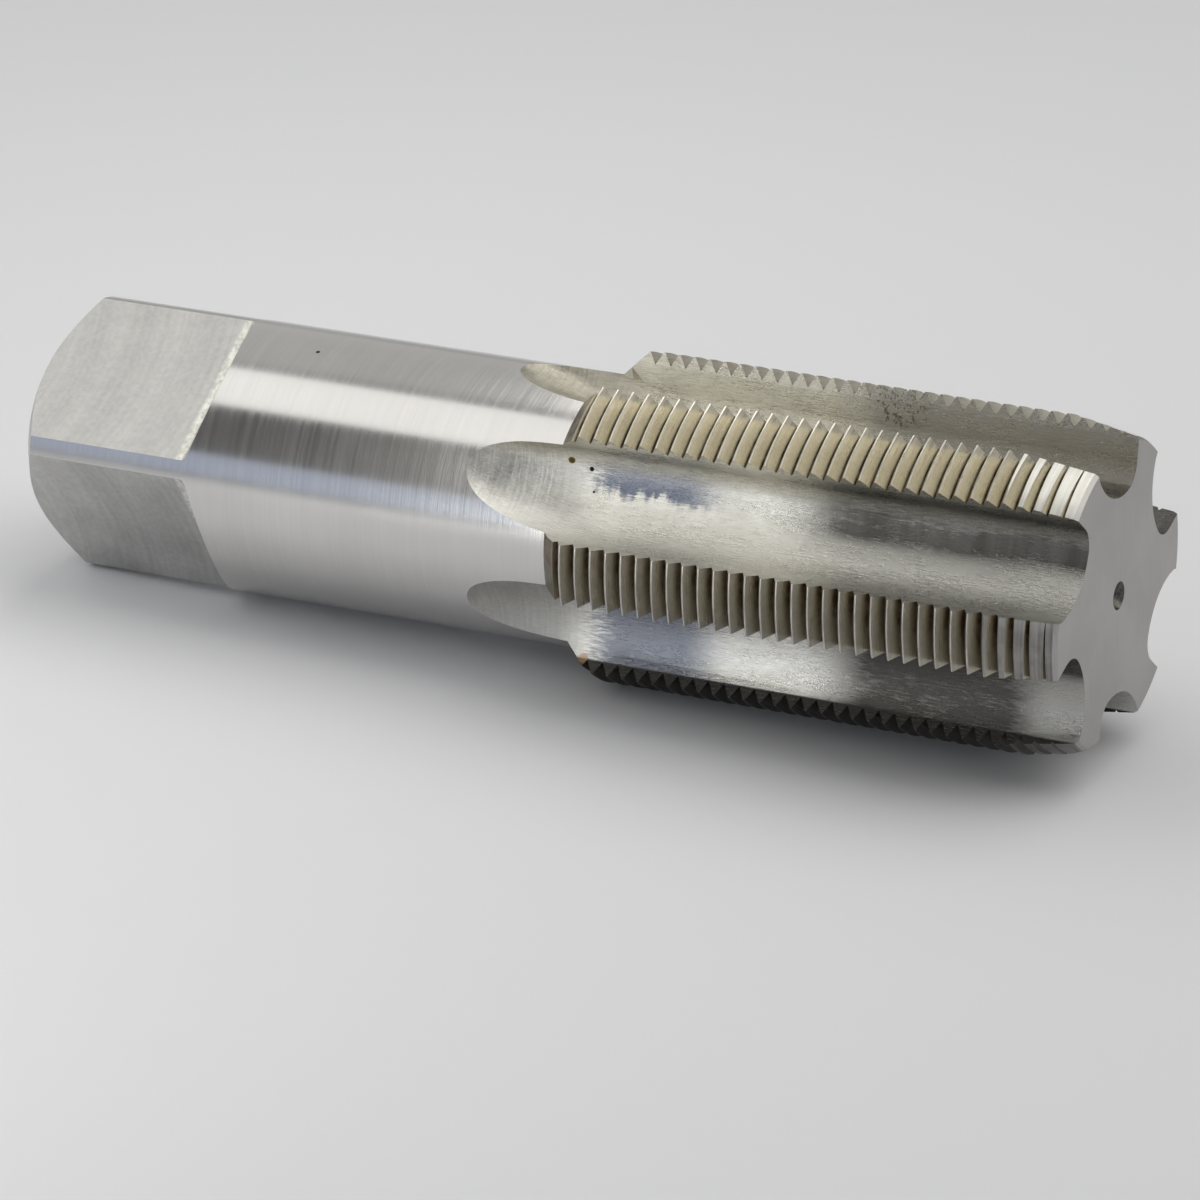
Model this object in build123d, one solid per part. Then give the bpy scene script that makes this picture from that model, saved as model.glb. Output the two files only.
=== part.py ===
from build123d import *
import math
import os

# Lengths in millimetres, angles in degrees.
# Along the axis everything is measured back from the flat cutting tip, which points to +X.
# Angles round the axis start at +Y and go towards +Z.

# Whole tap
overall_length = 222.25
thread_diameter = 63.5
pitch = 3.175
thread_length = 105.0
shank_diameter = 53.0

# Thread form
thread_angle = 60.0
crest_flat = 0.28
crest_start = 1.23

# Tapered lead at the tip, backed off behind each cutting edge
lead_length = 13.2
lead_drop = 2.3
lead_backoff = 0.45
tip_bevel = 0.45
tip_bevel_length = 0.8
back_bevel_angle = 45.0

# Flutes
flute_count = 6
first_flute_angle = 150.0
web_diameter = 38.2
flute_radius = 13.4
flute_offset = 2.5
corner_radius = 5.0
edge_angle = 18.8
hook_angle = 8.6
hook_start_depth = 0.15
heel_tuck = 0.5
flute_length = 123.0
cutter_radius = 58.0

# Driving square
across_flats = 40.0
square_length = 39.65
square_turn = 121.7
shoulder_angle = 60.0
shoulder_fillet = 1.5
end_bevel_length = 5.5
end_face_diameter = 36.0

# The corner that was knocked off one land: down the cutting face, along the lead, round the tip
knocked_land = 2
knock_depth = 2.1
knock_length = 7.0
knock_width = 6.2

# Centre holes, tip then drive end
centre_angle = 60.0
tip_centre_mouth = 5.4
tip_centre_pilot = 2.2
drive_centre_mouth = 8.0
drive_centre_pilot = 3.2
pilot_depth_ratio = 1.6
drill_point_angle = 118.0

# How far cutting solids reach past what they cut
over_cut = 5.0
run_out_spare = 12.0
land_spare = 3.0

# Derived sizes
thread_radius = thread_diameter / 2
shank_radius = shank_diameter / 2
lead_slope = lead_drop / lead_length
lead_radius = thread_radius - lead_drop
half_flank = math.tan(math.radians(thread_angle / 2))
thread_depth = (pitch - crest_flat) / 2 / half_flank
root_radius = thread_radius - thread_depth
web_radius = web_diameter / 2
clear = thread_radius + over_cut
flute_step = 360.0 / flute_count

# The heel stands in a plane through the axis, a little short of the root arc's widest angle
root_centre = (web_radius + flute_radius, -flute_offset)
root_distance = math.hypot(*root_centre)
root_offset_angle = math.degrees(math.atan2(root_centre[1], root_centre[0]))
half_width_angle = math.degrees(math.asin(flute_radius / root_distance))
heel_angle = root_offset_angle + half_width_angle - heel_tuck

# Angles from the middle of a land to its cutting edge and to its heel
land_edge = flute_step / 2 - edge_angle
land_heel = flute_step / 2 - heel_angle


def turned(points, axis=Axis.X, arc=360.0):
    """A solid turned about the axis from a closed outline in the XY plane."""
    return revolve(make_face(Polyline(points, close=True)), axis, revolution_arc=arc)


def round_axis(shape, angle):
    return shape.rotate(Axis.X, angle)


def over_land(points):
    """A solid turned over one land centred on +Y, reaching a little past both its sides."""
    arc = land_edge + land_heel + 2 * land_spare
    return round_axis(turned(points, arc=arc), -(land_heel + land_spare))


def turned_blank():
    bevel = (thread_radius - shank_radius) / math.tan(math.radians(back_bevel_angle))
    return turned(
        [
            (0, 0),
            (0, thread_radius),
            (-(thread_length - bevel), thread_radius),
            (-thread_length, shank_radius),
            (-(overall_length - end_bevel_length), shank_radius),
            (-overall_length, end_face_diameter / 2),
            (-overall_length, 0),
        ]
    )


def at_angle(radius, angle):
    """A point of a section, from its radius and its angle in degrees."""
    return (radius * math.cos(math.radians(angle)), radius * math.sin(math.radians(angle)))


def flute_outline():
    """The section of one flute, its open side at +Y, the cutting face on the -Z side."""
    # The tooth faces lie in a plane through the axis, and the hook starts just below them
    hook_start = at_angle(root_radius - hook_start_depth, -edge_angle)
    slope = math.radians(edge_angle - hook_angle)
    along = (math.cos(slope), -math.sin(slope))
    inward = (math.sin(slope), math.cos(slope))
    # The corner circle touches the cutting face and the large root arc
    base = (
        hook_start[0] + inward[0] * corner_radius - root_centre[0],
        hook_start[1] + inward[1] * corner_radius - root_centre[1],
    )
    half_b = base[0] * along[0] + base[1] * along[1]
    gap = base[0] ** 2 + base[1] ** 2 - (flute_radius - corner_radius) ** 2
    shift = -half_b - math.sqrt(half_b**2 - gap)
    corner = (
        root_centre[0] + base[0] + along[0] * shift,
        root_centre[1] + base[1] + along[1] * shift,
    )
    on_face = (corner[0] - inward[0] * corner_radius, corner[1] - inward[1] * corner_radius)
    root_turn = math.atan2(corner[1] - root_centre[1], corner[0] - root_centre[0])
    face_turn = math.atan2(-inward[1], -inward[0])
    middle_turn = (root_turn + face_turn) / 2
    on_root = (
        root_centre[0] + flute_radius * math.cos(root_turn),
        root_centre[1] + flute_radius * math.sin(root_turn),
    )
    corner_middle = (
        corner[0] + corner_radius * math.cos(middle_turn),
        corner[1] + corner_radius * math.sin(middle_turn),
    )
    # The root arc is left where it first meets the plane of the heel
    middle = root_distance * math.cos(math.radians(heel_angle - root_offset_angle))
    heel_foot = middle - math.sqrt(middle**2 - root_distance**2 + flute_radius**2)
    heel_end = at_angle(heel_foot, heel_angle)
    heel_turn = math.atan2(heel_end[1] - root_centre[1], heel_end[0] - root_centre[0])
    sweep_turn = (root_turn % (2 * math.pi) + heel_turn) / 2
    root_middle = (
        root_centre[0] + flute_radius * math.cos(sweep_turn),
        root_centre[1] + flute_radius * math.sin(sweep_turn),
    )
    face_out = at_angle(clear, -edge_angle)
    heel_out = at_angle(clear, heel_angle)

    def p(q):
        return Vector(0, q[0], q[1])

    return make_face(
        [
            Line(p(face_out), p(hook_start)),
            Line(p(hook_start), p(on_face)),
            ThreePointArc(p(on_face), p(corner_middle), p(on_root)),
            ThreePointArc(p(on_root), p(root_middle), p(heel_end)),
            Line(p(heel_end), p(heel_out)),
            Line(p(heel_out), p(face_out)),
        ]
    )


def flute_cutters():
    """One flute's straight cut and the round run-out that the milling cutter leaves."""
    outline = flute_outline()
    rise = cutter_radius - (shank_radius - web_radius)
    run_out = math.sqrt(cutter_radius**2 - rise**2)
    straight_end = flute_length - run_out
    straight = Pos(X=-straight_end) * extrude(outline, straight_end + over_cut, dir=(1, 0, 0))
    spindle = Axis((-straight_end, web_radius + cutter_radius, 0), (0, 0, 1))
    turn = math.degrees(math.asin(run_out / cutter_radius)) + run_out_spare
    swung = revolve(Pos(X=-straight_end) * outline, spindle, revolution_arc=-turn)
    return straight, swung


def lead_cutter():
    """Takes the crests of one land down to a taper that falls away behind the edge."""
    at_edge = math.sin(math.radians(land_edge))
    at_heel = math.sin(math.radians(land_heel))
    off = lead_backoff / (at_edge + at_heel)
    tip_radius = lead_radius - off * at_edge
    start = lead_length + 2 * lead_backoff / lead_slope
    bevel_slope = tip_bevel / tip_bevel_length + lead_slope
    ring = over_land(
        [
            (over_cut, tip_radius - tip_bevel - bevel_slope * over_cut),
            (-tip_bevel_length, tip_radius + lead_slope * tip_bevel_length),
            (-start, tip_radius + lead_slope * start),
            (-start, clear),
            (over_cut, clear),
        ]
    )
    # The taper's axis is moved towards the cutting edge at +Z
    return ring.translate((0, 0, off))


def groove_cutters():
    """The thread grooves across one land centred on +Y, as rings square to the axis."""
    top = thread_radius + crest_flat / 4
    wide = (top - root_radius) * half_flank
    groove = over_land([(0, root_radius), (wide, top), (-wide, top)])
    bevel = (thread_radius - root_radius) / math.tan(math.radians(back_bevel_angle))
    reach = thread_length + bevel - (thread_radius - shank_radius)
    count = math.ceil((reach - crest_start) / pitch) + 1
    return [Pos(X=-(crest_start + (n - 0.5) * pitch)) * groove for n in range(count)]


def knocked_corner():
    """Takes the broken corner off a land centred on +Y, where its cutting edge meets the tip."""

    def on_tip(radius, angle, back=0.0):
        a = math.radians(angle)
        return Vector(-back, radius * math.cos(a), radius * math.sin(a))

    tip_radius = lead_radius - tip_bevel
    down = on_tip(tip_radius - knock_depth, land_edge)
    behind = on_tip(lead_radius + lead_slope * knock_length, land_edge, knock_length)
    beside = on_tip(tip_radius, land_edge - math.degrees(knock_width / tip_radius))
    out = (behind - down).cross(beside - down).normalized()
    if out.X < 0:
        out = -out
    size = 2 * (knock_depth + knock_length + knock_width)
    return Plane(origin=down, z_dir=out) * Pos(Z=size / 2) * Box(size, size, size)


def square_cutter():
    """Takes one flat off the drive end, with a slanted shoulder and a rounded corner before it."""
    flat = across_flats / 2
    start = overall_length - square_length
    back = (clear - flat) / math.tan(math.radians(shoulder_angle))
    end = overall_length + over_cut
    side = make_face(
        Polyline((-start, flat), (-(start - back), clear), (-end, clear), (-end, flat), close=True)
    )
    inner_corner = side.vertices().group_by(Axis.Y)[0].sort_by(Axis.X)[-1]
    side = fillet(inner_corner, shoulder_fillet)
    return extrude(side, clear, both=True)


def centre_drill(mouth, pilot):
    """A centre hole entering at X = 0 from the +X side."""
    cone = (mouth - pilot) / 2 / math.tan(math.radians(centre_angle / 2))
    deep = cone + pilot * pilot_depth_ratio
    point = pilot / 2 / math.tan(math.radians(drill_point_angle / 2))
    over = over_cut
    wider = mouth / 2 + over * math.tan(math.radians(centre_angle / 2))
    return turned(
        [(over, 0), (over, wider), (-cone, pilot / 2), (-deep, pilot / 2), (-deep - point, 0)]
    )


tap = turned_blank()

for n in range(4):
    tap -= round_axis(square_cutter(), square_turn + 90.0 * n)

tap -= centre_drill(tip_centre_mouth, tip_centre_pilot)
drive_centre = centre_drill(drive_centre_mouth, drive_centre_pilot).rotate(Axis.Z, 180.0)
tap -= drive_centre.translate((-overall_length, 0, 0))

straight, swung = flute_cutters()
for n in range(flute_count):
    tap -= round_axis(straight, first_flute_angle + flute_step * n)
    tap -= round_axis(swung, first_flute_angle + flute_step * n)

lead = lead_cutter()
grooves = groove_cutters()
for n in range(flute_count):
    land_angle = first_flute_angle - flute_step / 2 + flute_step * n
    tap -= round_axis(lead, land_angle)
    # A right-hand thread moves one pitch towards the tip in one turn
    step = Pos(X=pitch * (flute_step * n) / 360.0)
    tap -= [step * round_axis(g, land_angle) for g in grooves]
    if n == knocked_land:
        tap -= round_axis(knocked_corner(), land_angle)

# The origin is the middle of the bounding box's underside
box = tap.bounding_box()
tap = tap.translate((-(box.min.X + box.max.X) / 2, -(box.min.Y + box.max.Y) / 2, -box.min.Z))

os.makedirs("parts", exist_ok=True)
export_step(tap, "parts/thread_tap.step")
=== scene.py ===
import math
import bmesh
import bpy
from mathutils import Matrix, Vector


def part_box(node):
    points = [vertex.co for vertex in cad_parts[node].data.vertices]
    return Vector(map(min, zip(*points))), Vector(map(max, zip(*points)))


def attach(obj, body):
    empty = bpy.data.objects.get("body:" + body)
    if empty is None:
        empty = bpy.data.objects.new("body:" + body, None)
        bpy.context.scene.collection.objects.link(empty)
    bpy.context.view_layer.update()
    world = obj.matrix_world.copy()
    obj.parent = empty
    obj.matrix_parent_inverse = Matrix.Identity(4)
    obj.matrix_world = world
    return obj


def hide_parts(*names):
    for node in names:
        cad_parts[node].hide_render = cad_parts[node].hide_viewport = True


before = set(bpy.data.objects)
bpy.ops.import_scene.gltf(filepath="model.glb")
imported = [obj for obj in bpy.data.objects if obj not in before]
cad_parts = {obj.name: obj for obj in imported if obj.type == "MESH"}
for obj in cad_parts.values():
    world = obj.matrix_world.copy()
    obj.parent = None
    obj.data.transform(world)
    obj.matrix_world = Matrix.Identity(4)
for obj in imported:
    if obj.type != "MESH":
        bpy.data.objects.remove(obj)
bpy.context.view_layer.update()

# Lengths are in metres, angles in degrees.
# The tap's axis runs along X, with the cutting tip at the +X end.
tap_low, tap_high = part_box("thread_tap")
tip_x = tap_high.x
drive_x = tap_low.x
axis_z = (tap_low.z + tap_high.z) / 2

thread_length = 0.105
thread_root_radius = 0.02924
shank_radius = 0.0265
square_length = 0.03965
half_across_flats = 0.020
shoulder_fillet = 0.0015
shoulder_angle = 60.0

# One flute's section, as the cutter leaves it
flute_count = 6
first_flute_angle = 150.0
flute_step = 360.0 / flute_count
flute_length = 0.123
web_radius = 0.0191
flute_radius = 0.0134
flute_offset = 0.0025
corner_radius = 0.005
edge_angle = 18.8
hook_angle = 8.6
hook_start_radius = thread_root_radius - 0.00015
cutter_radius = 0.058
cutter_rise = cutter_radius - shank_radius + web_radius
straight_length = flute_length - math.sqrt(cutter_radius**2 - cutter_rise**2)

# How far each kind of surface is looked for, a little past its own edge
lead_reach = 0.015
tip_bevel_reach = 0.001
back_bevel_reach = 0.0065
end_bevel_reach = 0.0055
square_margin = 0.006
centre_hole_reach = 0.0045
thread_end_margin = 0.0005
shank_margin = 0.0002
root_margin = 0.0003
hair = 0.00002

# The lean of a face is its normal's part along the axis, and its rise the part straight out
end_face_lean = 0.98
end_bevel_lean = 0.1
shoulder_lean = 0.02
tip_bevel_lean = 0.3
back_bevel_lean = 0.5
lead_lean = 0.08
shank_rise = 0.985
crest_rise = 0.75
tip_bevel_rise = 0.6
back_bevel_rise = 0.5
flank_rise = 0.3

# A face belongs to an arc of the flute when it leans and lies this near to it
arc_match = 0.985
arc_margin = 0.0002

# Points nearer than this are one point, and an edge is kept sharp from this angle up
merge_distance = 0.000002
sharp_angle = 20.0

# How the tap lies: on two lands and one corner of the square
rest_tilt = 2.0
rest_roll = -0.35

# The cutter that milled the flats turned about this point, measured from the axis at the tip
mill_centre = (-0.262, 0, 0)

# Colours of the clean steel and its chatter marks, and of the painted shade, shadow and blue
# reflection on it
cream = (0.98, 0.97, 0.92)
flute_painted_shade = (0.09, 0.086, 0.08)
root_painted_shade = (0.115, 0.082, 0.042)
painted_blue_reflection = (0.125, 0.148, 0.21)
chatter_grey = (0.3, 0.295, 0.28)
run_out_painted_shade = (0.24, 0.235, 0.225)
tooth_face_painted_shadow = (0.05, 0.048, 0.045)
flank_painted_shadow = (0.09, 0.085, 0.075)
crest_painted_shadow = (0.2, 0.19, 0.18)

# Where the painted light and shade change, as heights over the axis
lowest_lands = (-0.018, -0.012)
upper_lands = (0.006, 0.018)
lead_lands = (0.002, 0.014)
upper_flutes = (0.012, 0.02)
lower_flutes = (-0.012, 0.004)
root_shade_lands = (-0.006, 0.004)

# Where the brushing, the chatter, the painted shade and the blue reflection change, as places
# along the axis from the tip
brushing_starts = (-straight_length - 0.014, -straight_length - 0.003)
blue_starts = (-0.1045, -0.0975)
blue_ends = (-0.082, -0.07)
chatter_starts = (-0.082, -0.072)
dark_band_starts = (-0.063, -0.045)
dark_band_thins = (-0.018, -0.006)

# Where the painted shade, the cream side and the blue reflection change across a flute, in degrees
# from its middle
cutting_side_ends = (-8.0, 6.0)
cream_side_starts = (4.0, 13.0)
blue_side_ends = (-4.0, 4.0)

# Small round marks: place from the axis at the tip, radius, how much of it covers, colour
pit_black = (0.015, 0.012, 0.01)
shank_marks = [((-0.16347, -0.00534, 0.02595), 0.0005, 1.0, (0.05, 0.045, 0.04))]
flute_marks = [
    ((-0.1005, -0.01441, 0.01483), 0.00055, 1.0, pit_black),
    ((-0.09938, -0.01603, 0.01097), 0.0003, 1.0, pit_black),
    ((-0.10442, -0.01487, 0.01621), 0.0008, 1.0, (0.12, 0.085, 0.02)),
    ((-0.10117, -0.01903, -0.02195), 0.0011, 0.6, (0.36, 0.2, 0.1)),
]

# The dents on one stretch of the land at the back of the top
dent_place = (-0.048, 0.0125, 0.0286)
dent_reach = 0.0085
dent_cover = 0.85
dent_brown = (0.075, 0.07, 0.06)


class Field:
    """A value that varies over a surface, with the node maths written as an expression."""

    def __init__(self, socket):
        self.socket = socket

    def _math(self, operation, *values):
        node = add_node(self.socket.id_data, "ShaderNodeMath", {"operation": operation})
        for slot, value in zip(node.inputs, values):
            put(slot, value)
        return Field(node.outputs[0])

    def __add__(self, other):
        return self._math("ADD", self, other)

    def __radd__(self, other):
        return self._math("ADD", other, self)

    def __sub__(self, other):
        return self._math("SUBTRACT", self, other)

    def __rsub__(self, other):
        return self._math("SUBTRACT", other, self)

    def __mul__(self, other):
        return self._math("MULTIPLY", self, other)

    def __rmul__(self, other):
        return self._math("MULTIPLY", other, self)

    def __truediv__(self, other):
        return self._math("DIVIDE", self, other)

    def __rtruediv__(self, other):
        return self._math("DIVIDE", other, self)


def put(slot, value):
    """Links a field to a socket, or sets the socket's own value."""
    if isinstance(value, Field):
        slot.id_data.links.new(value.socket, slot)
    else:
        slot.default_value = value


def add_node(tree, kind, settings=None, sockets=None):
    """Any other node: its settings first, then the values or links of its sockets."""
    node = tree.nodes.new(kind)
    for name, value in (settings or {}).items():
        setattr(node, name, value)
    for name, value in (sockets or {}).items():
        put(node.inputs[name], value)
    return node


def ramped(tree, value, low, high, start=0.0, end=1.0):
    """A value taken smoothly from one range to another and held at its ends."""
    node = add_node(
        tree,
        "ShaderNodeMapRange",
        {"interpolation_type": "SMOOTHSTEP"},
        {"Value": value, "From Min": low, "From Max": high, "To Min": start, "To Max": end},
    )
    return Field(node.outputs["Result"])


def mixed(tree, part, first, second):
    """The first colour, turned into the second as the part goes from 0 to 1."""
    node = add_node(tree, "ShaderNodeMix", {"data_type": "RGBA"}, {"Factor": part})
    for slot, colour in ((node.inputs[6], first), (node.inputs[7], second)):
        put(slot, colour if isinstance(colour, Field) else (*colour, 1.0))
    return Field(node.outputs[2])


class Finish:
    """One steel finish: a material whose patterns lie on Object coordinates."""

    def __init__(self, name):
        self.material = bpy.data.materials.new(name)
        self.material.use_nodes = True
        self.tree = self.material.node_tree
        self.tree.nodes.clear()
        # Everything is measured from the axis at the tip
        place = Field(self.node("ShaderNodeTexCoord").outputs["Object"])
        self.place = self.vector("SUBTRACT", place, (tip_x, 0, axis_z))

    def node(self, kind, settings=None, sockets=None):
        return add_node(self.tree, kind, settings, sockets)

    def vector(self, operation, *values):
        """Vector maths, which gives a single value where it measures a length."""
        sockets = dict(enumerate(values))
        node = self.node("ShaderNodeVectorMath", {"operation": operation}, sockets)
        return Field(node.outputs["Value" if operation in ("LENGTH", "DISTANCE") else "Vector"])

    def ramp(self, value, low, high, start=0.0, end=1.0):
        return ramped(self.tree, value, low, high, start, end)

    def mix(self, part, first, second):
        return mixed(self.tree, part, first, second)

    def direction(self, name):
        parts = self.node("ShaderNodeSeparateXYZ", None, {"Vector": self.place})
        return Field(parts.outputs[name])

    def along(self):
        """Distance along the axis from the tip face, negative behind it."""
        return self.direction("X")

    def aside(self):
        """Distance from the axis towards the back, negative at the front."""
        return self.direction("Y")

    def height(self):
        """Height over the tap's axis."""
        return self.direction("Z")

    def radius(self):
        """Distance from the tap's axis."""
        return self.vector("LENGTH", self.vector("MULTIPLY", self.place, (0, 1, 1)))

    def across(self):
        """Degrees from the middle of the nearest flute, negative towards its cutting face."""
        sockets = {0: self.height(), 1: self.aside()}
        angle = self.node("ShaderNodeMath", {"operation": "ARCTAN2"}, sockets)
        turns = (Field(angle.outputs[0]) * (180 / math.pi) - first_flute_angle) / flute_step
        whole = self.node("ShaderNodeMath", {"operation": "ROUND"}, {0: turns})
        return (turns - Field(whole.outputs[0])) * flute_step

    def on_upper_lands(self):
        """1 on the lands that face up, 0 lower down."""
        return self.ramp(self.height(), *upper_lands)

    def on_lowest_lands(self):
        """1 on the lands nearest the floor, 0 higher up."""
        return 1.0 - self.ramp(self.height(), *lowest_lands)

    def noise(self, place, detail, rough=0.6):
        sockets = {"Vector": place, "Scale": 1.0, "Detail": detail, "Roughness": rough}
        return Field(self.node("ShaderNodeTexNoise", None, sockets).outputs["Fac"])

    def opened(self, noise):
        """Noise keeps near its middle, so this opens it to the whole range from 0 to 1."""
        return self.ramp(noise, 0.32, 0.68)

    def grain(self, scale, detail=3):
        """Noise with its own scale along the axis, across and up."""
        return self.opened(self.noise(self.vector("MULTIPLY", self.place, scale), detail))

    def rings(self, centre, pitch, waver):
        """Noise that changes with the distance from a point, as turned and milled marks do."""
        away = self.vector("DISTANCE", self.place, centre)
        sockets = {"X": away * pitch, "Y": self.along() * waver}
        spot = self.node("ShaderNodeCombineXYZ", None, sockets)
        return self.opened(self.noise(Field(spot.outputs[0]), 3, 0.5))

    def spot(self, place, size):
        """1 inside a small round mark, 0 outside."""
        return 1.0 - self.ramp(self.vector("DISTANCE", self.place, place), 0.7 * size, size)

    def marked(self, colour, marks):
        for place, size, cover, shade in marks:
            colour = self.mix(cover * self.spot(place, size), colour, shade)
        return colour

    def dented(self, colour):
        """Small dark dents, scattered over their stretch of the land."""
        specks = self.noise(self.vector("MULTIPLY", self.place, (1300, 1300, 1300)), 3)
        dents = dent_cover * self.spot(dent_place, dent_reach) * self.ramp(specks, 0.53, 0.62)
        return self.mix(dents, colour, dent_brown)

    def bump(self, height, distance):
        node = self.node("ShaderNodeBump", None, {"Height": height, "Distance": distance})
        return Field(node.outputs["Normal"])

    def close(self, colour, roughness, normal=None):
        sockets = {"Base Color": colour, "Metallic": 1.0, "Roughness": roughness}
        if normal is not None:
            sockets["Normal"] = normal
        shader = self.node("ShaderNodeBsdfPrincipled", None, sockets)
        self.node("ShaderNodeOutputMaterial", None, {"Surface": Field(shader.outputs[0])})
        return self.material


def shank_finish():
    """Ground round the axis, with fine lines."""
    steel = Finish("ground_shank")
    lines = steel.grain((3800, 30, 30))
    bands = steel.grain((500, 8, 8), 2)
    clouds = steel.grain((30, 50, 50))
    blend = 0.4 * lines + 0.2 * bands + 0.4 * clouds
    colour = steel.mix(blend, (0.57, 0.56, 0.55), (0.645, 0.635, 0.625))
    colour = steel.marked(colour, shank_marks)
    rough = 0.14 + 0.05 * lines + 0.03 * clouds
    return steel.close(colour, rough, steel.bump(lines, 0.000002))


def flat_finish():
    """Milled flats with the arcs of the cutter."""
    steel = Finish("milled_square")
    arcs = steel.rings(mill_centre, 900, 30)
    wide = steel.rings(mill_centre, 170, 20)
    grain = steel.grain((900, 900, 900))
    patches = steel.grain((110, 110, 110))
    blend = 0.25 * arcs + 0.2 * wide + 0.25 * grain + 0.3 * patches
    colour = steel.mix(blend, (0.45, 0.446, 0.436), (0.68, 0.676, 0.66))
    # A band at the foot of the shoulder is lighter and rougher
    back = steel.along()
    shoulder = drive_x - tip_x + square_length
    foot = steel.ramp(back, shoulder - 0.0024, shoulder - 0.0014)
    foot = foot * (1.0 - steel.ramp(back, shoulder, shoulder + 0.001))
    lighter_foot = steel.mix(grain, (0.62, 0.62, 0.57), (0.92, 0.91, 0.86))
    colour = steel.mix(foot, colour, lighter_foot)
    rough = 0.36 + 0.08 * patches + 0.06 * arcs
    return steel.close(colour, rough, steel.bump(arcs + grain, 0.000005))


def flute_finish():
    """Flutes and their run-outs: milled and brushed along, cream on the heel side, with painted
    shade, a warm painted reflection on top and a blue one at the back.
    """
    steel = Finish("milled_flute")
    back = steel.along()
    height = steel.height()
    across = steel.across()
    streaks = steel.grain((420, 3300, 3300))
    fine = steel.grain((1300, 6500, 6500), 2)
    marks = steel.grain((2300, 130, 130), 2)
    patches = steel.grain((60, 260, 260))
    # The cutter's teeth marked the run-outs, and brushing has taken the marks off the flutes
    brushed = steel.ramp(back, *brushing_starts)
    grain = brushed * (0.55 * streaks + 0.45 * fine)
    grain = grain + (1.0 - brushed) * (0.45 * marks + 0.55 * streaks)
    colour = steel.mix(0.65 * grain + 0.35 * patches, (0.55, 0.54, 0.505), cream)
    # Painted reflection: the flutes on top are given a warmer, duller colour
    top = steel.ramp(height, *upper_flutes)
    upper_flute_tint = steel.mix(0.6 * grain + 0.4 * patches, (0.35, 0.33, 0.275), (0.71, 0.68, 0.585))
    colour = steel.mix(top, colour, upper_flute_tint)
    # Painted shade and dark reflection: the cutting side of a flute and the flutes near the floor
    # are darker, mostly in a band behind the tip, and the heel side is lighter cream away from the
    # floor
    front = steel.ramp(steel.aside(), -0.004, 0.004, 1.0, 0.4)
    low_side = (1.0 - steel.ramp(height, *lower_flutes)) * front
    cutting_side = 1.0 - steel.ramp(across, *cutting_side_ends)
    cream_side = steel.ramp(across, *cream_side_starts) * (1.0 - low_side)
    colour = steel.mix(0.5 * cream_side, colour, cream)
    shade_weight = 0.45 + 0.95 * cutting_side + 0.95 * low_side - 0.45 * cream_side - 0.6 * top
    brighter_end = 0.5 * steel.ramp(back, *dark_band_thins) * (1.0 - cutting_side)
    dark_band_edge = back - 0.005 * low_side + 0.003 * cutting_side * patches
    near_tip = steel.ramp(dark_band_edge, *dark_band_starts) * (1.0 - brighter_end)
    shaded = 0.9 * near_tip * shade_weight * (0.7 + 0.15 * patches + 0.15 * streaks)
    colour = steel.mix(shaded, colour, flute_painted_shade)
    # Chatter of the cutter left faint cross bands on the cutting side
    chatter = steel.grain((380, 30, 30), 2) * steel.ramp(back, *chatter_starts)
    colour = steel.mix(0.2 * chatter * cutting_side, colour, chatter_grey)
    # Painted shade: the run-outs nearest the floor are darker
    colour = steel.mix(0.6 * low_side * (1.0 - brushed), colour, run_out_painted_shade)
    # A painted reflection of blue daylight at the back of the flutes, on the side of the cutting
    # face
    blue_edge_noise = steel.grain((450, 20, 20), 2) * (1.0 - low_side)
    ragged = across + 4.0 * patches + 3.0 * streaks + 8.0 * blue_edge_noise - 1.0 - 30.0 * low_side
    blue_side = 1.0 - steel.ramp(ragged, *blue_side_ends)
    blued = steel.ramp(back - 0.004 * streaks, *blue_starts)
    blued = blued * (1.0 - steel.ramp(back, *blue_ends))
    cast = blued * blue_side * (1.0 - top) * (0.92 - 0.12 * low_side)
    colour = steel.mix(cast, colour, painted_blue_reflection)
    # Painted shadow: the tooth faces nearest the floor are nearly black
    tooth = steel.ramp(steel.radius(), thread_root_radius - 0.0004, thread_root_radius)
    colour = steel.mix(tooth * steel.on_lowest_lands(), colour, tooth_face_painted_shadow)
    colour = steel.marked(steel.dented(colour), flute_marks)
    rough = 0.38 - 0.17 * brushed + 0.1 * grain + 0.06 * patches
    return steel.close(colour, rough, steel.bump(grain, 0.000046))


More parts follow.
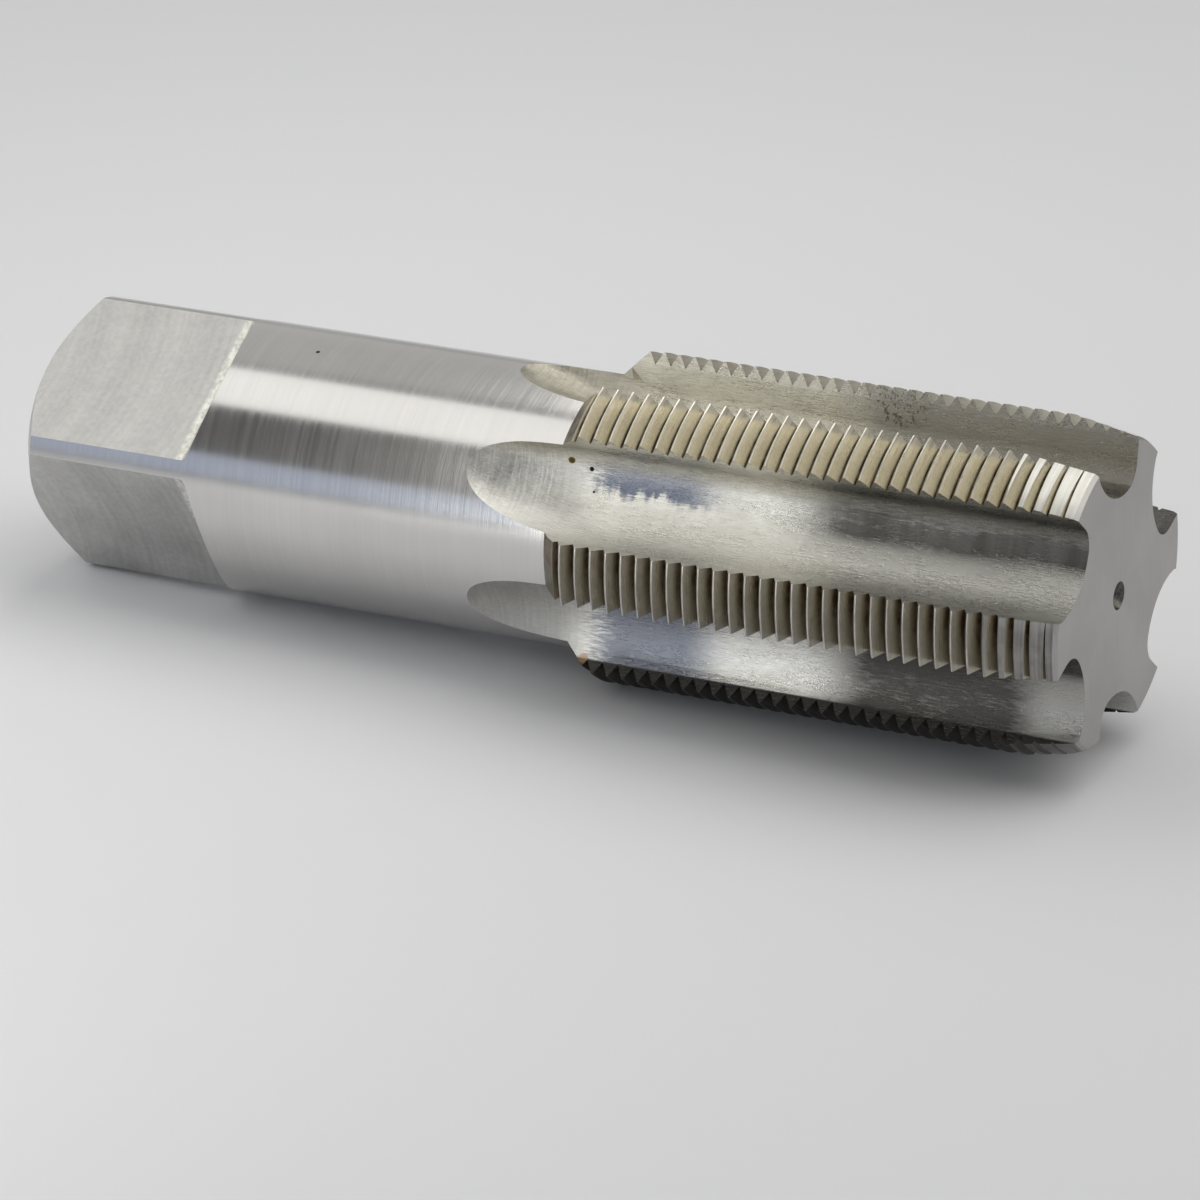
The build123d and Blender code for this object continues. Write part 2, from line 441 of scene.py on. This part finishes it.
def thread_finish():
    """Ground thread flanks, beige, with painted light and shade: lighter on the upper lands,
    darker on the lower ones, nearly black near the floor, and brown painted shade in the roots
    that stands higher on the lower lands.
    """
    steel = Finish("ground_thread")
    lines = steel.grain((2600, 60, 60), 2)
    stain = steel.grain((300, 420, 420))
    speckle = steel.grain((1500, 1500, 1500), 2)
    # Painted light and shade: the upper lands are lighter beige, the lower ones darker, and those
    # nearest the floor nearly black
    upper = steel.on_upper_lands()
    lit_blend = 0.3 + 0.4 * lines + 0.3 * speckle
    lit_colour = steel.mix(lit_blend, (0.52, 0.48, 0.375), (0.71, 0.67, 0.56))
    shaded_blend = 0.35 * lines + 0.4 * stain + 0.25 * speckle
    shaded_colour = steel.mix(shaded_blend, (0.36, 0.335, 0.28), (0.50, 0.475, 0.41))
    colour = steel.mix(upper, shaded_colour, lit_colour)
    colour = steel.mix(steel.on_lowest_lands(), colour, flank_painted_shadow)
    # Painted shade in the roots, standing higher up the flanks of the lower lands
    shade_depth = 0.0017 - 0.0011 * upper
    depth = (steel.radius() - thread_root_radius) / shade_depth
    low_land_shade = steel.ramp(steel.height(), *root_shade_lands, 0.45, 1.0)
    shaded = (1.0 - steel.ramp(depth, 0.1, 1.0)) * (0.6 + 0.4 * stain) * low_land_shade
    colour = steel.dented(steel.mix(shaded, colour, root_painted_shade))
    rough = 0.26 + 0.12 * lines
    return steel.close(colour, rough, steel.bump(lines + 0.5 * speckle, 0.000003))


def crest_finish():
    """The narrow ground crests."""
    steel = Finish("ground_crest")
    lines = steel.grain((2600, 300, 300), 2)
    # Painted light and shade: crests on the upper lands are lighter, the lower ones darker, and
    # those nearest the floor dark
    lit_colour = steel.mix(lines, (0.50, 0.48, 0.43), (0.68, 0.66, 0.61))
    shaded_colour = steel.mix(lines, (0.36, 0.35, 0.33), (0.58, 0.57, 0.55))
    colour = steel.mix(steel.on_upper_lands(), shaded_colour, lit_colour)
    colour = steel.mix(steel.on_lowest_lands(), colour, crest_painted_shadow)
    return steel.close(colour, 0.26 + 0.1 * lines)


def lead_finish():
    """The backed-off crests of the lead, ground with fine lines round the tap."""
    steel = Finish("ground_lead")
    lines = steel.grain((2300, 40, 40))
    patches = steel.grain((250, 300, 300), 2)
    blend = 0.6 * lines + 0.4 * patches
    # Painted light and shade: the lead is cream on the upper lands and dark on the lower ones
    lit_colour = steel.mix(blend, (0.78, 0.77, 0.71), cream)
    shaded_colour = steel.mix(blend, (0.16, 0.155, 0.15), (0.34, 0.33, 0.31))
    colour = steel.mix(steel.ramp(steel.height(), *lead_lands), shaded_colour, lit_colour)
    return steel.close(colour, 0.3 + 0.12 * lines, steel.bump(lines, 0.000004))


def tip_finish():
    """The ground tip face, with straight upright lines."""
    steel = Finish("ground_tip")
    lines = steel.grain((10, 2600, 60))
    clouds = steel.grain((60, 70, 70))
    blend = 0.6 * lines + 0.4 * clouds
    colour = steel.mix(blend, (0.38, 0.366, 0.357), (0.47, 0.46, 0.446))
    return steel.close(colour, 0.34 + 0.1 * lines, steel.bump(lines, 0.000003))


def turned_finish():
    """The turned bevel and face of the drive end."""
    steel = Finish("turned_end")
    rings = steel.rings((drive_x - tip_x, 0, 0), 1500, 0)
    colour = steel.mix(rings, (0.46, 0.45, 0.44), (0.58, 0.575, 0.56))
    return steel.close(colour, 0.34 + 0.1 * rings, steel.bump(rings, 0.000003))


def hole_finish():
    """The centre holes, much darker than the steel round them."""
    steel = Finish("dark_centre_hole")
    grain = steel.grain((900, 900, 900))
    colour = steel.mix(grain, (0.07, 0.066, 0.06), (0.2, 0.19, 0.175))
    return steel.close(colour, 0.4 + 0.1 * grain)


finishes = {
    "flute": flute_finish(),
    "shank": shank_finish(),
    "flat": flat_finish(),
    "thread": thread_finish(),
    "crest": crest_finish(),
    "lead": lead_finish(),
    "tip": tip_finish(),
    "turned": turned_finish(),
    "hole": hole_finish(),
}


def finish_of(face):
    """Which of the tap's surfaces a face belongs to, from its place and the way it points."""
    middle = face.calc_center_median()
    lean = face.normal.x
    side = Vector((middle.y, middle.z - axis_z))
    radius = side.length
    height = face.normal.y * side.x + face.normal.z * side.y
    rise = height / max(radius, hair)
    back = tip_x - middle.x
    if radius < centre_hole_reach and abs(lean) < end_face_lean:
        return "hole"
    if back < hair:
        return "tip"
    if middle.x < drive_x + square_length + square_margin:
        if middle.x < drive_x + end_bevel_reach and lean < -end_bevel_lean:
            return "turned"
        flat = abs(height - half_across_flats) < 3 * hair
        if radius < shank_radius - hair and (lean < -shoulder_lean or flat):
            return "flat"
        return "shank"
    if back > thread_length - thread_end_margin:
        if rise > shank_rise and radius > shank_radius - shank_margin:
            return "shank"
    if back < tip_bevel_reach and lean > tip_bevel_lean and rise > tip_bevel_rise:
        return "tip"
    if back > thread_length - back_bevel_reach:
        if lean < -back_bevel_lean and rise > back_bevel_rise:
            return "thread"
    toothed = radius > thread_root_radius - root_margin and back < thread_length
    if toothed and rise > flank_rise:
        if rise > crest_rise and back < lead_reach and abs(lean) > lead_lean:
            return "lead"
        return "crest" if rise > crest_rise else "thread"
    return "flute"


root_centre = Vector((web_radius + flute_radius, -flute_offset))


def corner_centre():
    """Where the small arc beside the cutting face has its centre, in a flute's section."""
    start = math.radians(edge_angle)
    hook = math.radians(edge_angle - hook_angle)
    along = Vector((math.cos(hook), -math.sin(hook)))
    inward = Vector((math.sin(hook), math.cos(hook)))
    hook_start = hook_start_radius * Vector((math.cos(start), -math.sin(start)))
    base = hook_start + inward * corner_radius - root_centre
    reach = base.dot(along)
    gap = base.length_squared - (flute_radius - corner_radius) ** 2
    return root_centre + base - along * (reach + math.sqrt(reach**2 - gap))


flute_arcs = [(root_centre, flute_radius), (corner_centre(), corner_radius)]


def flute_frame(point):
    """A flute's directions out of it and across it at a point, and the point in its section."""
    y, z = point.y, point.z - axis_z
    around = math.degrees(math.atan2(z, y)) - first_flute_angle
    turn = math.radians(first_flute_angle + flute_step * round(around / flute_step))
    out = Vector((0, math.cos(turn), math.sin(turn)))
    across = Vector((0, -math.sin(turn), math.cos(turn)))
    u = y * out.y + z * out.z
    v = y * across.y + z * across.z
    straight_end = tip_x - straight_length
    if point.x < straight_end:
        # In the run-out the section swings about the cutter's spindle
        spindle = web_radius + cutter_radius
        away = Vector((point.x - straight_end, 0, 0)) + out * (u - spindle)
        u = spindle - away.length
        out = -away.normalized()
    return out, across, Vector((u, v))


def flute_normals(face):
    """The exact direction of a flute's surface at each corner of a face."""
    out, across, spot = flute_frame(face.calc_center_median())
    lean = Vector((face.normal.dot(out), face.normal.dot(across)))
    centres = []
    for centre, radius in flute_arcs:
        away = centre - spot
        if away.normalized().dot(lean) > arc_match and abs(away.length - radius) < arc_margin:
            centres.append(centre)
    made = []
    for corner in face.verts:
        out, across, spot = flute_frame(corner.co)
        turned = (centres[0] - spot).normalized() if centres else lean.normalized()
        made.append(out * turned.x + across * turned.y)
    return made


def turned_normals(face):
    """The exact direction of a turned surface: its slope stays, and it points straight out."""
    slope = face.normal.x
    middle = face.calc_center_median()
    side = face.normal.y * middle.y + face.normal.z * (middle.z - axis_z)
    reach = math.copysign(math.sqrt(max(0.0, 1 - slope * slope)), side)
    made = []
    for corner in face.verts:
        ray = Vector((0, corner.co.y, corner.co.z - axis_z))
        if ray.length > hair:
            made.append(Vector((slope, 0, 0)) + ray.normalized() * reach)
        else:
            made.append(face.normal.copy())
    return made


def shoulder_normals(face):
    """The rounded corner between a flat and its shoulder turns evenly, and the flats stay flat."""
    steepest = math.sin(math.radians(shoulder_angle))
    if not shoulder_lean < abs(face.normal.x) < steepest - shoulder_lean:
        return [face.normal.copy() for _ in face.verts]
    overlap = shoulder_fillet * math.tan(math.radians((90 - shoulder_angle)))
    start = drive_x + square_length - overlap
    flat = Vector((0, face.normal.y, face.normal.z)).normalized()
    made = []
    for corner in face.verts:
        along = max(-0.99, min(0.99, (start - corner.co.x) / shoulder_fillet))
        made.append(Vector((along, 0, 0)) + flat * math.sqrt(1 - along * along))
    return made


def true_normals(face, kind):
    if kind == "flute":
        return flute_normals(face)
    if kind == "flat":
        return shoulder_normals(face)
    return turned_normals(face)


def add_object(name, data):
    piece = bpy.data.objects.new(name, data)
    bpy.context.scene.collection.objects.link(piece)
    return piece


def dressed_tap():
    """The tap's own shape, merged, with its round surfaces smooth and a finish on each face."""
    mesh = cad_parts["thread_tap"].data.copy()
    mesh.name = "tap_steel"
    mesh.materials.clear()
    for finish in finishes.values():
        mesh.materials.append(finish)
    names = list(finishes)
    shape = bmesh.new()
    shape.from_mesh(mesh)
    bmesh.ops.remove_doubles(shape, verts=shape.verts, dist=merge_distance)
    directions = []
    for face in shape.faces:
        kind = finish_of(face)
        face.smooth = True
        face.material_index = names.index(kind)
        directions += true_normals(face, kind)
    shape.to_mesh(mesh)
    shape.free()
    mesh.set_sharp_from_angle(angle=math.radians(sharp_angle))
    mesh.normals_split_custom_set(directions)
    return add_object("tap_steel", mesh)


tap = dressed_tap()
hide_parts("thread_tap")
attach(tap, "root")


def stage_piece(name, shape, paint_name, sockets):
    """A plain painted piece of the studio."""
    mesh = bpy.data.meshes.new(name)
    shape.to_mesh(mesh)
    shape.free()
    paint = bpy.data.materials.new(paint_name)
    paint.use_nodes = True
    shader = paint.node_tree.nodes["Principled BSDF"]
    for socket, value in sockets.items():
        put(shader.inputs[socket], value)
    mesh.materials.append(paint)
    add_object(name, mesh)


def floor():
    """A pale floor that the tap lies on, with the tap's own slight tilt."""
    tilt = Matrix.Rotation(math.radians(rest_tilt), 3, "Y")
    lean = tilt @ Matrix.Rotation(math.radians(rest_roll), 3, "X")
    up = lean @ Vector((0, 0, 1))
    height = min(v.co.dot(up) for v in tap.data.vertices)
    shape = bmesh.new()
    bmesh.ops.create_grid(shape, x_segments=1, y_segments=1, size=4.0)
    bmesh.ops.rotate(shape, cent=(0, 0, 0), matrix=lean, verts=shape.verts)
    bmesh.ops.translate(shape, vec=up * height, verts=shape.verts)
    sockets = {"Base Color": (0.81, 0.82, 0.85, 1), "Roughness": 0.9, "Specular IOR Level": 0.0}
    stage_piece("floor", shape, "pale_floor", sockets)


floor()

# The room's light is weaker to the right, and cooler daylight comes in low from the front
room_left = 0.45
room_right = 0.3
daylight_gain = 0.15
room_white = (1.0, 0.99, 0.965)
daylight_blue = (0.84, 0.94, 1.15)


def studio():
    """A soft studio with pale light all round."""
    world = bpy.data.worlds.new("studio")
    world.use_nodes = True
    tree = world.node_tree
    way = Field(add_node(tree, "ShaderNodeTexCoord").outputs["Generated"])
    parts = add_node(tree, "ShaderNodeSeparateXYZ", None, {"Vector": way}).outputs
    room = ramped(tree, Field(parts["X"]), -0.55, 0.1, room_left, room_right)
    towards_front = ramped(tree, Field(parts["Y"]), -0.75, -0.35, 1.0, 0.0)
    low = ramped(tree, Field(parts["Z"]), 0.24, 0.34, 1.0, 0.0)
    daylight = towards_front * low
    background = tree.nodes["Background"]
    put(background.inputs["Strength"], room + daylight_gain * daylight)
    put(background.inputs["Color"], mixed(tree, daylight, room_white, daylight_blue))
    bpy.context.scene.world = world
    bpy.context.scene.view_settings.view_transform = "Standard"


studio()

board_distance = -1.5
board_grey = 0.3


def dark_board(left, low, right, high):
    """A plain matt board out of view, upright and facing the tap, that the steel mirrors."""
    upright = Matrix.Rotation(math.radians(-90), 3, "X")
    middle = ((left + right) / 2, board_distance, (low + high) / 2)
    shape = bmesh.new()
    bmesh.ops.create_grid(shape, x_segments=1, y_segments=1, size=0.5)
    bmesh.ops.rotate(shape, cent=(0, 0, 0), matrix=upright, verts=shape.verts)
    bmesh.ops.scale(shape, vec=(right - left, 1, high - low), verts=shape.verts)
    bmesh.ops.translate(shape, vec=middle, verts=shape.verts)
    sockets = {"Base Color": (board_grey, board_grey, board_grey, 1), "Roughness": 1.0}
    stage_piece("dark_board", shape, "dark_board", sockets)


dark_board(left=-3.2, low=0.56, right=1.2, high=2.9)


def card(name, place, aim, size, brightness, colour):
    """A soft light of its own size, turned to look at a point."""
    light = bpy.data.lights.new(name, "AREA")
    light.shape = "RECTANGLE"
    light.size, light.size_y = size
    # The same brightness to look at, whatever the card's size
    light.energy = brightness * math.pi * size[0] * size[1]
    light.color = colour
    lamp = add_object(name, light)
    look = (Vector(aim) - Vector(place)).normalized()
    side = Vector((1, 0, 0)) if abs(look.x) < 0.9 else Vector((0, 1, 0))
    side = (side - look * side.dot(look)).normalized()
    turn = Matrix((side, side.cross(look), -look)).transposed()
    lamp.matrix_world = Matrix.Translation(place) @ turn.to_4x4()
    lamp.visible_camera = False


soft_white = (1.0, 0.99, 0.96)
warm_white = (1.0, 0.98, 0.94)
strip_white = (1.0, 0.985, 0.93)
strip_brightness = 3.3
strip_x = -0.11
strip_width = 0.06
strip_radius = 0.35


def strip(name, angle, reach):
    """One part of a narrow light that arches over the tap, square to its axis."""
    turn = math.radians(angle)
    place = (strip_x, strip_radius * math.cos(turn), axis_z + strip_radius * math.sin(turn))
    size = (strip_width, strip_radius * math.radians(reach))
    card(name, place, (strip_x, 0, axis_z), size, strip_brightness, strip_white)


card(
    "overhead",
    place=(-0.895, -0.145, 0.73),
    aim=(-0.895, -0.145, 0),
    size=(1.32, 0.486),
    brightness=0.92,
    colour=soft_white,
)
strip("strip_front", angle=142, reach=45)
strip("strip_back", angle=62, reach=36)
strip("strip_low", angle=174, reach=18)
card(
    "behind",
    place=(-0.95, 0.8, 0.8),
    aim=(-0.95, 0, 0.3),
    size=(1.3, 1.4),
    brightness=0.12,
    colour=soft_white,
)
card(
    "right",
    place=(0.72, 0.3, 1.1),
    aim=(0.2, 0, 0),
    size=(1.6, 1.3),
    brightness=1.35,
    colour=warm_white,
)

# The camera stands where the photograph was taken from
lens = 201.2
sensor_width = 36.0
camera_place = Vector((tip_x + 0.43378, -1.05268, axis_z + 0.47631))
camera_azimuth = 27.19
camera_elevation = 22.685
camera_roll = -1.61


def camera():
    around = math.radians(camera_azimuth)
    above = math.radians(camera_elevation)
    roll = math.radians(camera_roll)
    flat_way = Vector((math.sin(around), -math.cos(around), 0))
    look = -(flat_way * math.cos(above) + Vector((0, 0, math.sin(above))))
    level = Vector((math.cos(around), math.sin(around), 0))
    upright = level.cross(look)
    right = level * math.cos(roll) + upright * math.sin(roll)
    up = upright * math.cos(roll) - level * math.sin(roll)
    data = bpy.data.cameras.new("photo_camera")
    data.lens = lens
    data.sensor_width = sensor_width
    data.clip_end = 50.0
    piece = add_object("photo_camera", data)
    turn = Matrix((right, up, -look)).transposed()
    piece.matrix_world = Matrix.Translation(camera_place) @ turn.to_4x4()
    bpy.context.scene.camera = piece


camera()
